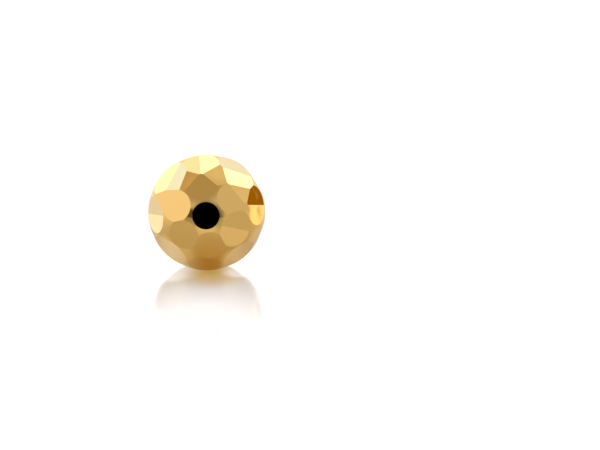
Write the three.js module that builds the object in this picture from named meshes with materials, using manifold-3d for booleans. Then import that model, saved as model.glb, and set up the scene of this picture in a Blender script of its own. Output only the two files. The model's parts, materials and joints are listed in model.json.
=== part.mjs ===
// Ball stud earring: a polished gold ball cut with flat facets, on a straight post.
// Millimetres, +Z up. The origin is where the ball rests on the surface, +X is to the right of someone who
// faces the ball's front, and the post runs back along +Y and a little down, until its tip rests too.

import * as THREE from 'three';
import { mergeVertices } from 'three/addons/utils/BufferGeometryUtils.js';
import Module from 'manifold-3d';

// Driving dimensions
const ballDiameter = 5;
const ballFineness = 13; // splits of each edge of the round form
const postDiameter = 0.8;
const postLength = 10; // from the back of the ball to the tip
const tipChamfer = 0.2;
const flareDiameter = 1.8; // solder round the foot of the post
const flareLength = 0.45;
const flareSink = 0.2; // how far the solder's rim lies inside the round form
const postSides = 24;
const flareSteps = 4;
const cutterScale = 1.5; // of the blocks that cut the facets, against the ball
const sameCorner = 1e-5; // corners closer than this are one
const restHalfAngle = 18; // of the facet that the ball rests on
const restAzimuth = 270;

// Flat facets seen from the front. polar is the angle from the front of the ball, azimuth runs anticlockwise
// from the right, and half is the angle from a facet's middle to its round edge. All are in degrees. A pair
// of halves meets at a low ridge.
const frontFacets = [
  { name: 'middle', polar: 0, azimuth: 0, half: 13.4 },
  { name: 'inner upper right', polar: 31, azimuth: 33, half: 14.8 },
  { name: 'inner top', polar: 31, azimuth: 99, half: 15.5 },
  { name: 'inner upper left', polar: 32, azimuth: 163, half: 15.5 },
  { name: 'inner lower left', polar: 31, azimuth: 221, half: 15.5 },
  { name: 'inner bottom', polar: 32, azimuth: 277, half: 15.5 },
  { name: 'inner lower right, upper half', polar: 34.4, azimuth: 339, half: 16.6 },
  { name: 'inner lower right, lower half', polar: 35.1, azimuth: 331, half: 16.6 },
  { name: 'small upper right', polar: 48, azimuth: 36, half: 14.5 },
  { name: 'small right of top', polar: 46, azimuth: 77, half: 14.5 },
  { name: 'small left of top', polar: 46, azimuth: 117, half: 14.5 },
  { name: 'small upper left', polar: 50, azimuth: 155.5, half: 17 },
  { name: 'outer right, upper half', polar: 62.5, azimuth: 13.5, half: 16.5 },
  { name: 'outer right, lower half', polar: 61.5, azimuth: 6, half: 16.5 },
  { name: 'outer upper right', polar: 59, azimuth: 50, half: 19 },
  { name: 'outer upper right, edge', polar: 70, azimuth: 58, half: 18.5 },
  { name: 'outer top, left half', polar: 60, azimuth: 100, half: 17.5 },
  { name: 'outer top, right half', polar: 60, azimuth: 94.5, half: 17.5 },
  { name: 'outer upper left, left half', polar: 63.5, azimuth: 137, half: 20.3 },
  { name: 'outer upper left, right half', polar: 59, azimuth: 134, half: 20.4 },
  { name: 'outer left, upper half', polar: 63, azimuth: 178, half: 16.5 },
  { name: 'outer left, lower half', polar: 63, azimuth: 183.5, half: 16.3 },
  { name: 'outer lower left, left half', polar: 67.5, azimuth: 224, half: 17.5 },
  { name: 'outer lower left, right half', polar: 64.5, azimuth: 228, half: 17.5 },
  { name: 'outer bottom', polar: 64, azimuth: 269, half: 17 },
  { name: 'outer lower right', polar: 66, azimuth: 308, half: 17.5 },
];

// Flat facets round the ball's widest line, clear of the one that the ball rests on
const sidePolar = 91;
const sideFacets = [
  { azimuth: 31, half: 13 },
  { azimuth: 73, half: 11 },
  { azimuth: 114, half: 11 },
  { azimuth: 159, half: 10 },
  { azimuth: 203, half: 11 },
  { azimuth: 246, half: 11 },
  { azimuth: 294, half: 11 },
  { azimuth: 338, half: 12 },
];

// Full rings of like facets on the back. first is the azimuth of a ring's first facet.
const backRings = [
  { name: 'outer', polar: 119, count: 8, first: 9, half: 16 },
  { name: 'inner', polar: 146, count: 6, first: 30, half: 14.5 },
];

// Values worked out from the sizes above
const radians = THREE.MathUtils.degToRad;
const ballRadius = ballDiameter / 2;
const postRadius = postDiameter / 2;
const flareRadius = flareDiameter / 2;
const tipDistance = ballRadius + postLength; // from the middle of the ball to the end of the post
const rimDistance = tipDistance - tipChamfer;
const ballHeight = ballRadius * Math.cos(radians(restHalfAngle));

// The post leans down until the rim of its tip is as low as the facet that the ball rests on
const rimReach = Math.hypot(rimDistance, postRadius);
const restTilt = Math.asin(ballHeight / rimReach) - Math.atan2(postRadius, rimDistance);
const lean = new THREE.Matrix4().makeRotationX(-restTilt);

const wasm = await Module();
wasm.setup();

function toSolid(geometry) {
  const bare = geometry.clone();
  bare.deleteAttribute('normal');
  bare.deleteAttribute('uv');
  const joined = mergeVertices(bare, sameCorner);
  const order = joined.index.array;
  const corners = [];
  for (let i = 0; i < order.length; i += 3) {
    const [a, b, c] = [order[i], order[i + 1], order[i + 2]];
    if (a !== b && b !== c && c !== a) corners.push(a, b, c);
  }
  return new wasm.Manifold(new wasm.Mesh({
    numProp: 3,
    vertProperties: new Float32Array(joined.attributes.position.array),
    triVerts: new Uint32Array(corners),
  }));
}

function toGeometry(solid) {
  const mesh = solid.getMesh();
  const geometry = new THREE.BufferGeometry();
  geometry.setAttribute('position', new THREE.BufferAttribute(mesh.vertProperties, 3));
  geometry.setIndex(new THREE.BufferAttribute(mesh.triVerts, 1));
  const flat = geometry.toNonIndexed();
  flat.computeVertexNormals();
  return flat;
}

// Direction of a facet, in the frame of the ball whose front looks along -Y
function facetDirection(polar, azimuth) {
  const [p, a] = [radians(polar), radians(azimuth)];
  return new THREE.Vector3(Math.sin(p) * Math.cos(a), -Math.cos(p), Math.sin(p) * Math.sin(a));
}

function allFacets() {
  const rows = [...frontFacets];
  for (const { azimuth, half } of sideFacets) rows.push({ polar: sidePolar, azimuth, half });
  for (const { polar, count, first, half } of backRings) {
    for (let i = 0; i < count; i += 1) {
      rows.push({ polar, azimuth: first + (360 / count) * i, half });
    }
  }
  const restPolar = 90 + THREE.MathUtils.radToDeg(restTilt);
  rows.push({ polar: restPolar, azimuth: restAzimuth, half: restHalfAngle });
  return rows;
}

// A block whose inner face is the facet's plane, so that it takes away the cap outside it
function facetCutter({ polar, azimuth, half }) {
  const direction = facetDirection(polar, azimuth);
  const side = ballDiameter * cutterScale;
  const block = new THREE.BoxGeometry(side, side, side);
  const turn = new THREE.Quaternion().setFromUnitVectors(new THREE.Vector3(0, 0, 1), direction);
  const middle = direction.multiplyScalar(ballRadius * Math.cos(radians(half)) + side / 2);
  block.applyQuaternion(turn).translate(middle.x, middle.y, middle.z);
  return toSolid(block);
}

function facetedBall() {
  let ball = toSolid(new THREE.IcosahedronGeometry(ballRadius, ballFineness));
  for (const facet of allFacets()) {
    ball = ball.subtract(facetCutter(facet));
  }
  return ball;
}

// The post and the hollow curve of solder at its foot, turned as one outline round the post's axis
function postAndFlare() {
  const outline = [new THREE.Vector2(0, 0)];
  const flareStart = Math.sqrt(ballRadius ** 2 - flareRadius ** 2) - flareSink;
  const flareEnd = ballRadius + flareLength;
  outline.push(new THREE.Vector2(postRadius, 0));
  outline.push(new THREE.Vector2(flareRadius, flareStart));
  for (let i = 1; i <= flareSteps; i += 1) {
    const turn = (i / flareSteps) * (Math.PI / 2);
    const across = flareRadius - (flareRadius - postRadius) * Math.sin(turn);
    outline.push(new THREE.Vector2(across, flareEnd - (flareEnd - flareStart) * Math.cos(turn)));
  }
  outline.push(new THREE.Vector2(postRadius, rimDistance));
  outline.push(new THREE.Vector2(postRadius - tipChamfer, tipDistance));
  outline.push(new THREE.Vector2(0, tipDistance));
  return toSolid(new THREE.LatheGeometry(outline, postSides));
}

const gold = new THREE.MeshStandardMaterial({ name: 'gold', color: 0xd9a441, roughness: 0.12, metalness: 1 });

const stud = new THREE.Mesh(toGeometry(facetedBall().add(postAndFlare())), gold);
stud.name = 'stud';
stud.geometry.applyMatrix4(lean);
stud.position.set(0, 0, ballHeight);

const group = new THREE.Group();
group.add(stud);

export default group;
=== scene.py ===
import json
import math

import bmesh
import bpy
from mathutils import Matrix, Vector

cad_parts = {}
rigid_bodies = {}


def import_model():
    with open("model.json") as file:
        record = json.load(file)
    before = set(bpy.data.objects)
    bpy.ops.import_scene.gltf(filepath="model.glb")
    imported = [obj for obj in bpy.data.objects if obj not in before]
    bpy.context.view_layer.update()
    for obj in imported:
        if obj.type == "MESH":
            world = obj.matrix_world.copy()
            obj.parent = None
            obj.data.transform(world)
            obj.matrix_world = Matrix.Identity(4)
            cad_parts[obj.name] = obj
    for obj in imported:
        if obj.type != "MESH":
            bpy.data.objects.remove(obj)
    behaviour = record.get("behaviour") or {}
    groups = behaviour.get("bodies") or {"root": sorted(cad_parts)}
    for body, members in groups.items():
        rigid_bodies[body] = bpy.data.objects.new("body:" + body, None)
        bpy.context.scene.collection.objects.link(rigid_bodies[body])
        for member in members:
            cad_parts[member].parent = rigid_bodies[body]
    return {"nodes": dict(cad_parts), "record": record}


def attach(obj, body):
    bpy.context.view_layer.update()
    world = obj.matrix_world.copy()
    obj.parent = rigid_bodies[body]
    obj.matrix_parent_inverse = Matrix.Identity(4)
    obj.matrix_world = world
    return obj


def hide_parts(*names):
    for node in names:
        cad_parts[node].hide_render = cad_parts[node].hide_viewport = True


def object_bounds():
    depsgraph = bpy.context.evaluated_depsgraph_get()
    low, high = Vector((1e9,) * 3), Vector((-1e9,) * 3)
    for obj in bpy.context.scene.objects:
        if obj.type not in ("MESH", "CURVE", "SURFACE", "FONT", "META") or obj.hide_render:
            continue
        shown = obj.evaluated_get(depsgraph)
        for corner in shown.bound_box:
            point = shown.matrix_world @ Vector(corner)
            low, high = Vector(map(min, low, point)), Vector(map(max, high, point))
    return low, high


for leftover in list(bpy.data.objects):  # the start-up file's cube, lamp and camera
    bpy.data.objects.remove(leftover)
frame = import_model()
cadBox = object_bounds()
mounts = {mount["name"]: mount for mount in frame["record"]["mounts"]}

millimetre = 0.001
postTip = Vector(mounts["post_end"]["pos_m"])
postAxis = Vector(mounts["post_end"]["axis"]).normalized()
ballCentre = postTip - postAxis * (postTip.y / postAxis.y)  # where the post's line passes over the origin
ballRadius = (cadBox[1].x - cadBox[0].x) / 2
postLean = math.asin(-postAxis.z)
print("frame: ball radius %.3f mm" % (ballRadius / millimetre),
      "and the post leans by %.2f degrees" % math.degrees(postLean))


class Wire:  # one output socket, on which arithmetic adds Math nodes
    def __init__(self, graph, socket):
        self.graph = graph
        self.socket = socket

    def reckon(self, operation, *values):
        return self.graph.add("ShaderNodeMath", {"operation": operation}, dict(enumerate(values)))

    def __radd__(self, other):
        return self.reckon("ADD", other, self)

    def __sub__(self, other):
        return self.reckon("SUBTRACT", self, other)

    def __mul__(self, other):
        return self.reckon("MULTIPLY", self, other)


class Graph:  # the nodes of one material or world
    def __init__(self, owner):
        owner.use_nodes = True
        self.tree = owner.node_tree
        self.tree.nodes.clear()

    def add(self, kind, settings=None, inputs=None, output=0):
        node = self.tree.nodes.new(kind)
        for name, value in (settings or {}).items():
            setattr(node, name, value)
        for name, value in (inputs or {}).items():
            if isinstance(value, Wire):
                self.tree.links.new(value.socket, node.inputs[name])
            else:
                node.inputs[name].default_value = value
        return Wire(self, node.outputs[output]) if node.outputs else node


mixShare, mixFirst, mixSecond, mixColour = 0, 6, 7, 2  # sockets of a Mix node that takes colours

goldFinish = {
    "colour": (0.73, 0.455, 0.128, 1),
    "deepColour": (0.69, 0.4, 0.105, 1),
    "cloudScale": 900.0,
    "cloudDetail": 3.0,
    "cloudFrom": 0.35,  # noise below this has none of the deep colour's share
    "cloudTo": 0.65,
    "cloudShare": 0.12,
    "cutRoughness": 0.03,
    "skinRoughness": 0.07,
    "scuffScale": 5000.0,
    "scuffDetail": 4.0,
    "scuffMiddle": 0.5,  # the noise's own middle
    "scuffShare": 0.03,
    "waveScale": 800.0,
    "waveDetail": 1.0,
    "waveHeight": 0.03 * millimetre,
}


def polishedGold(name, finish):
    material = bpy.data.materials.new(name)
    graph = Graph(material)
    place = graph.add("ShaderNodeTexCoord", output="Object")
    cloud, scuff, wave = (graph.add("ShaderNodeTexNoise", {}, {
        "Vector": place, "Scale": finish[noise + "Scale"], "Detail": finish[noise + "Detail"]})
        for noise in ("cloud", "scuff", "wave"))
    share = graph.add("ShaderNodeMapRange", {}, {
        "Value": cloud, "From Min": finish["cloudFrom"], "From Max": finish["cloudTo"]})
    colour = graph.add("ShaderNodeMix", {"data_type": "RGBA"}, {
        mixShare: share * finish["cloudShare"], mixFirst: finish["colour"],
        mixSecond: finish["deepColour"]}, mixColour)
    flat = graph.add("ShaderNodeAttribute", {"attribute_name": "flatCut"}, output="Fac")
    smoother = finish["skinRoughness"] - finish["cutRoughness"]
    uneven = (scuff - finish["scuffMiddle"]) * finish["scuffShare"]
    roughness = finish["skinRoughness"] + uneven - flat * smoother
    normal = graph.add("ShaderNodeBump", {}, {"Height": wave, "Distance": finish["waveHeight"]})
    principled = graph.add("ShaderNodeBsdfPrincipled", {}, {
        "Base Color": colour, "Metallic": 1.0, "Roughness": roughness, "Normal": normal})
    graph.add("ShaderNodeOutputMaterial", {}, {"Surface": principled})
    return material


facetedBall = {
    "fineness": 7,  # each step makes four times as many triangles of the round form
    "farthest": 1.001,  # the most that a corner of the ball is from its middle, in radii
    "nearest": 0.9,  # the least that a face of the ball is from its middle, in radii
    "sameWay": 0.99996,  # how alike two normals of one facet are
    "leastFacet": 0.1 * millimetre ** 2,
    "onPlane": 1e-9,  # corners as near as this to a cut lie on it
    "weld": 0.002 * millimetre,
}


def cadFacets(spec):  # planes of the flat facets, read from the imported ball
    mesh = frame["nodes"]["stud"].data
    mesh.calc_loop_triangles()
    planes = []
    for triangle in mesh.loop_triangles:
        corners = [mesh.vertices[i].co - ballCentre for i in triangle.vertices]
        across = (corners[1] - corners[0]).cross(corners[2] - corners[0])
        normal = across.normalized()
        depth = normal.dot(corners[0])
        onBall = max(corner.length for corner in corners) < spec["farthest"] * ballRadius
        if not onBall or not spec["nearest"] * ballRadius < depth < ballRadius:
            continue
        plane = next((each for each in planes if each["normal"].dot(normal) > spec["sameWay"]), None)
        if plane is None:
            plane = {"normal": normal, "across": Vector(), "reach": 0.0}
            planes.append(plane)
        plane["across"] += across
        plane["reach"] += depth * across.length
    flats = []
    for plane in planes:
        area = plane["across"].length / 2
        if area > spec["leastFacet"]:
            flats.append((plane["across"].normalized(), plane["reach"] / (2 * area)))
    return flats


def makeFacetedBall(spec):
    shape = bmesh.new()
    bmesh.ops.create_icosphere(shape, subdivisions=spec["fineness"], radius=ballRadius)
    flats = cadFacets(spec)
    for normal, depth in flats:
        everything = shape.verts[:] + shape.edges[:] + shape.faces[:]
        cut = bmesh.ops.bisect_plane(shape, geom=everything, dist=spec["onPlane"],
                                     plane_co=normal * depth, plane_no=normal, clear_outer=True)
        rim = [item for item in cut["geom_cut"] if isinstance(item, bmesh.types.BMEdge)]
        bmesh.ops.edgenet_fill(shape, edges=rim)
    bmesh.ops.remove_doubles(shape, verts=shape.verts[:], dist=spec["weld"])
    bmesh.ops.recalc_face_normals(shape, faces=shape.faces[:])
    mesh = bpy.data.meshes.new("faceted_ball")
    cutMark = shape.faces.layers.float.new("flatCut")
    for face in shape.faces:
        isFlat = any(face.normal.dot(normal) > spec["sameWay"] for normal, depth in flats)
        face[cutMark] = 1.0 if isFlat else 0.0
        face.smooth = True
    shape.to_mesh(mesh)
    shape.free()
    mesh.transform(Matrix.Translation(ballCentre))
    marks = mesh.attributes["flatCut"].data
    normals = []
    for polygon in mesh.polygons:
        flatHere = bool(marks[polygon.index].value)
        for corner in polygon.loop_indices:
            vertex = mesh.vertices[mesh.loops[corner].vertex_index].co
            normals.append(polygon.normal.copy() if flatHere else (vertex - ballCentre).normalized())
    mesh.normals_split_custom_set(normals)
    print("faceted ball: %d flats, %d faces" % (len(flats), len(mesh.polygons)))
    return bpy.data.objects.new("faceted_ball", mesh)


earPost = {
    "sides": 64,
    "rootDepth": 0.5 * millimetre,  # how far the post runs into the ball
    "flareRadius": 0.9 * millimetre,
    "flareLength": 0.45 * millimetre,
    "flareSteps": 10,
    "tipRound": 0.2 * millimetre,
    "tipSteps": 6,
    "weld": 1e-4 * millimetre,
    "sharpAngle": math.radians(35),
}


def makeEarPost(spec):
    tip = (postTip - ballCentre).length
    offsets = [v.co - ballCentre for v in frame["nodes"]["stud"].data.vertices]
    shaft = [o for o in offsets if o.dot(postAxis) > (ballRadius + tip) / 2]
    radius = max((o - postAxis * o.dot(postAxis)).length for o in shaft)
    flareFoot = math.sqrt(ballRadius ** 2 - spec["flareRadius"] ** 2)
    outline = [(0.0, ballRadius - spec["rootDepth"]), (spec["flareRadius"], ballRadius - spec["rootDepth"])]
    flareEnd = ballRadius + spec["flareLength"]
    for step in range(spec["flareSteps"] + 1):
        turn = math.pi / 2 * step / spec["flareSteps"]
        outline.append((spec["flareRadius"] - (spec["flareRadius"] - radius) * math.sin(turn),
                        flareEnd - (flareEnd - flareFoot) * math.cos(turn)))
    for step in range(spec["tipSteps"] + 1):
        turn = math.pi / 2 * step / spec["tipSteps"]
        outline.append((radius - spec["tipRound"] * (1 - math.cos(turn)),
                        tip - spec["tipRound"] * (1 - math.sin(turn))))
    outline.append((0.0, tip))
    shape = bmesh.new()
    line = [shape.verts.new((across, 0, along)) for across, along in outline]
    edges = [shape.edges.new(pair) for pair in zip(line, line[1:])]
    bmesh.ops.spin(shape, geom=line + edges, cent=(0, 0, 0), axis=(0, 0, 1), angle=math.tau,
                   steps=spec["sides"], use_merge=True)
    bmesh.ops.remove_doubles(shape, verts=shape.verts[:], dist=spec["weld"])
    bmesh.ops.recalc_face_normals(shape, faces=shape.faces[:])
    for face in shape.faces:
        face.smooth = True
    mesh = bpy.data.meshes.new("ear_post")
    shape.to_mesh(mesh)
    shape.free()
    mesh.set_sharp_from_angle(angle=spec["sharpAngle"])
    mesh.transform(Matrix.Translation(ballCentre) @ postAxis.to_track_quat("Z", "Y").to_matrix().to_4x4())
    print("ear post: radius %.3f mm, %d faces" % (radius / millimetre, len(mesh.polygons)))
    return bpy.data.objects.new("ear_post", mesh)


gold = polishedGold("polished_gold", goldFinish)
for piece in (makeFacetedBall(facetedBall), makeEarPost(earPost)):
    bpy.context.scene.collection.objects.link(piece)
    piece.data.materials.append(gold)
    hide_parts("stud")
    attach(piece, "root")


photoView = {
    "wide": 600.0,  # the photograph's frame, in pixels
    "high": 450.0,
    "ballAcross": 206.8,
    "ballDown": 211.6,
    "ballRadius": 58.9,
    "frontBelowAxis": math.radians(4.2),  # the ball's front facet looks this far below the camera
    "distance": 250 * millimetre,
    "sensor": 36.0,
    "clipStart": 10 * millimetre,
    "clipEnd": 10.0,
}


def makeCamera(spec):
    size = ballRadius / spec["ballRadius"]  # of one pixel, at the ball
    elevation = postLean + spec["frontBelowAxis"]
    back = Vector((0, -math.cos(elevation), math.sin(elevation)))
    up = Vector((0, math.sin(elevation), math.cos(elevation)))
    middle = ballCentre + Vector((spec["wide"] / 2 - spec["ballAcross"], 0, 0)) * size
    middle += up * (spec["ballDown"] - spec["high"] / 2) * size
    data = bpy.data.cameras.new("camera")
    data.sensor_width = spec["sensor"]
    data.lens = spec["sensor"] * spec["distance"] / (spec["wide"] * size)
    data.clip_start = spec["clipStart"]
    data.clip_end = spec["clipEnd"]
    camera = bpy.data.objects.new("camera", data)
    camera.location = middle + back * spec["distance"]
    camera.rotation_euler = (-back).to_track_quat("-Z", "Y").to_euler()
    bpy.context.scene.collection.objects.link(camera)
    bpy.context.scene.camera = camera
    print("camera: %.1f degrees above the ball, lens %.0f mm" % (math.degrees(elevation), data.lens))


makeCamera(photoView)


studioFloor = {
    "side": 1.2,
    "colour": (0.44, 0.43, 0.42, 1),
    "roughness": 0.1,
    "glow": (0.25, 0.245, 0.21, 1),  # the sheet is lit from below too
    "paintedLightPools": [  # painted pools of light in the sheet's glow, brighter than the rest of it, and one warm painted reflection of the light that the gold ball throws on the sheet; in millimetres from where it stands
        dict(name="front", middle=(0, -13), narrow=2.5, inner=4, outer=12.3, colour=(0.62, 0.62, 0.62)),
        dict(name="foot", middle=(-1.1, -0.6), narrow=0.45, inner=1, outer=1.9, colour=(0.5, 0.5, 0.5)),
        # painted reflection: warm gold light glowing on the sheet in front of the ball's foot
        dict(name="warm", middle=(0.2, -1.7), narrow=1.6, inner=0.5, outer=2.7, colour=(0.31, 0.2, 0.02)),
        dict(name="left", middle=(-1.7, -2), narrow=1, inner=0.3, outer=1.2, colour=(0.5, 0.5, 0.48)),
        dict(name="far left", middle=(-2.1, -0.7), narrow=1, inner=0.3, outer=1, colour=(0.56, 0.65, 0.75)),
        dict(name="right", middle=(4.4, -3.8), narrow=1, inner=0.9, outer=2, colour=(0.47, 0.45, 0.46)),
        dict(name="beside", middle=(1.5, -1.2), narrow=1, inner=0.3, outer=1.1, colour=(0.49, 0.48, 0.44)),
    ],
}


def makeFloor(spec):
    shape = bmesh.new()
    bmesh.ops.create_grid(shape, x_segments=1, y_segments=1, size=spec["side"] / 2)
    mesh = bpy.data.meshes.new("floor")
    shape.to_mesh(mesh)
    shape.free()
    material = bpy.data.materials.new("floor_white")
    graph = Graph(material)
    place = graph.add("ShaderNodeTexCoord", output="Object")
    glow = spec["glow"]
    # each pool paints light, or the warm painted reflection, into the sheet's glow
    for lightPool in spec["paintedLightPools"]:
        scale = (lightPool["narrow"] / millimetre, 1 / millimetre, 1)
        spread = graph.add("ShaderNodeVectorMath", {"operation": "MULTIPLY"}, {0: place, 1: scale})
        across, back = lightPool["middle"]
        middle = (across * lightPool["narrow"], back, 0)
        away = graph.add("ShaderNodeVectorMath", {"operation": "DISTANCE"},
                         {0: spread, 1: middle}, "Value")
        share = graph.add("ShaderNodeMapRange", {"interpolation_type": "SMOOTHSTEP"}, {
            "Value": away, "From Min": lightPool["inner"], "From Max": lightPool["outer"]})
        glow = graph.add("ShaderNodeMix", {"data_type": "RGBA"}, {
            mixShare: share, mixFirst: (*lightPool["colour"], 1), mixSecond: glow}, mixColour)
    principled = graph.add("ShaderNodeBsdfPrincipled", {}, {
        "Base Color": spec["colour"], "Roughness": spec["roughness"],
        "Emission Color": glow, "Emission Strength": 1.0})
    graph.add("ShaderNodeOutputMaterial", {}, {"Surface": principled})
    mesh.materials.append(material)
    floor = bpy.data.objects.new("floor", mesh)
    bpy.context.scene.collection.objects.link(floor)
    print("floor: %.1f m square, flecks" % spec["side"], ", ".join(lightPool["name"] for lightPool in spec["paintedLightPools"]))


makeFloor(studioFloor)


studioLight = {
    "base": (0.85, 0.87, 0.98, 1),
    "soft": [  # patches of light and shade: where from, how wide, how bright, as seen from the ball
        dict(name="backdrop", azimuth=180, elevation=25, inner=56, outer=78, colour=(1.22, 1.25, 1.35)),
        dict(name="low back", azimuth=180, elevation=7, inner=10, outer=17, colour=(2.3, 2.3, 2.3)),
        dict(name="left back", azimuth=-136, elevation=25, inner=7, outer=13, colour=(2.7, 2.7, 3.1)),
        dict(name="cream left", azimuth=-126, elevation=33, inner=3.5, outer=7, colour=(1.3, 1.83, 3.55)),
        dict(name="low left", azimuth=-124, elevation=16, inner=4.5, outer=7, colour=(3.4, 4.1, 6.8)),
        dict(name="grey left", azimuth=-125, elevation=6, inner=3.5, outer=5.5, colour=(1.25, 1.65, 3.1)),
        dict(name="top back", azimuth=178, elevation=55, inner=8, outer=16, colour=(2.7, 2.7, 3.6)),
        dict(name="cream top", azimuth=-158, elevation=52, inner=3.5, outer=7, colour=(1.33, 1.75, 2.5)),
        dict(name="right edge", azimuth=156, elevation=28, inner=7, outer=13, colour=(1.25, 1.55, 2.3)),
        dict(name="right back", azimuth=128, elevation=36, inner=9, outer=16, colour=(2.7, 2.7, 4)),
        dict(name="left", azimuth=-82, elevation=14, inner=28, outer=44, colour=(1.29, 1.3, 1.55)),
        dict(name="high left", azimuth=-103, elevation=59, inner=6, outer=14, colour=(0.98, 0.78, 0.58)),
        dict(name="top front", azimuth=-22, elevation=65, inner=26, outer=44, colour=(0.58, 0.53, 0.47)),
        dict(name="low right", azimuth=117, elevation=7, inner=5, outer=8, colour=(1.9, 1.8, 1.3)),
        dict(name="dark right", azimuth=130.5, elevation=-2.5, inner=8.8, outer=10.6, colour=(0.44, 0.21, 0)),
        dict(name="dark front", azimuth=3, elevation=-1, inner=16, outer=41, colour=(0, 0, 0)),
        dict(name="dark left", azimuth=-31, elevation=5, inner=7, outer=16, colour=(0.12, 0.12, 0.1)),
    ],
}


def makeStudioLight(spec):
    world = bpy.data.worlds.new("studio")
    bpy.context.scene.world = world
    graph = Graph(world)
    way = graph.add("ShaderNodeTexCoord", output="Generated")
    light = spec["base"]
    for patch in spec["soft"]:
        azimuth, elevation = math.radians(patch["azimuth"]), math.radians(patch["elevation"])
        towards = (math.sin(azimuth) * math.cos(elevation), -math.cos(azimuth) * math.cos(elevation),
                   math.sin(elevation))
        nearness = graph.add("ShaderNodeVectorMath", {"operation": "DOT_PRODUCT"},
                             {0: way, 1: towards}, "Value")
        share = graph.add("ShaderNodeMapRange", {"interpolation_type": "SMOOTHSTEP"}, {
            "Value": nearness, "From Min": math.cos(math.radians(patch["outer"])),
            "From Max": math.cos(math.radians(patch["inner"]))})
        light = graph.add("ShaderNodeMix", {"data_type": "RGBA"}, {
            mixShare: share, mixFirst: light, mixSecond: (*patch["colour"], 1)}, mixColour)
    background = graph.add("ShaderNodeBackground", {}, {"Color": light})
    graph.add("ShaderNodeOutputWorld", {}, {"Surface": background})
    print("studio light: patches", ", ".join(patch["name"] for patch in spec["soft"]))


makeStudioLight(studioLight)
bpy.context.scene.view_settings.view_transform = "Standard"
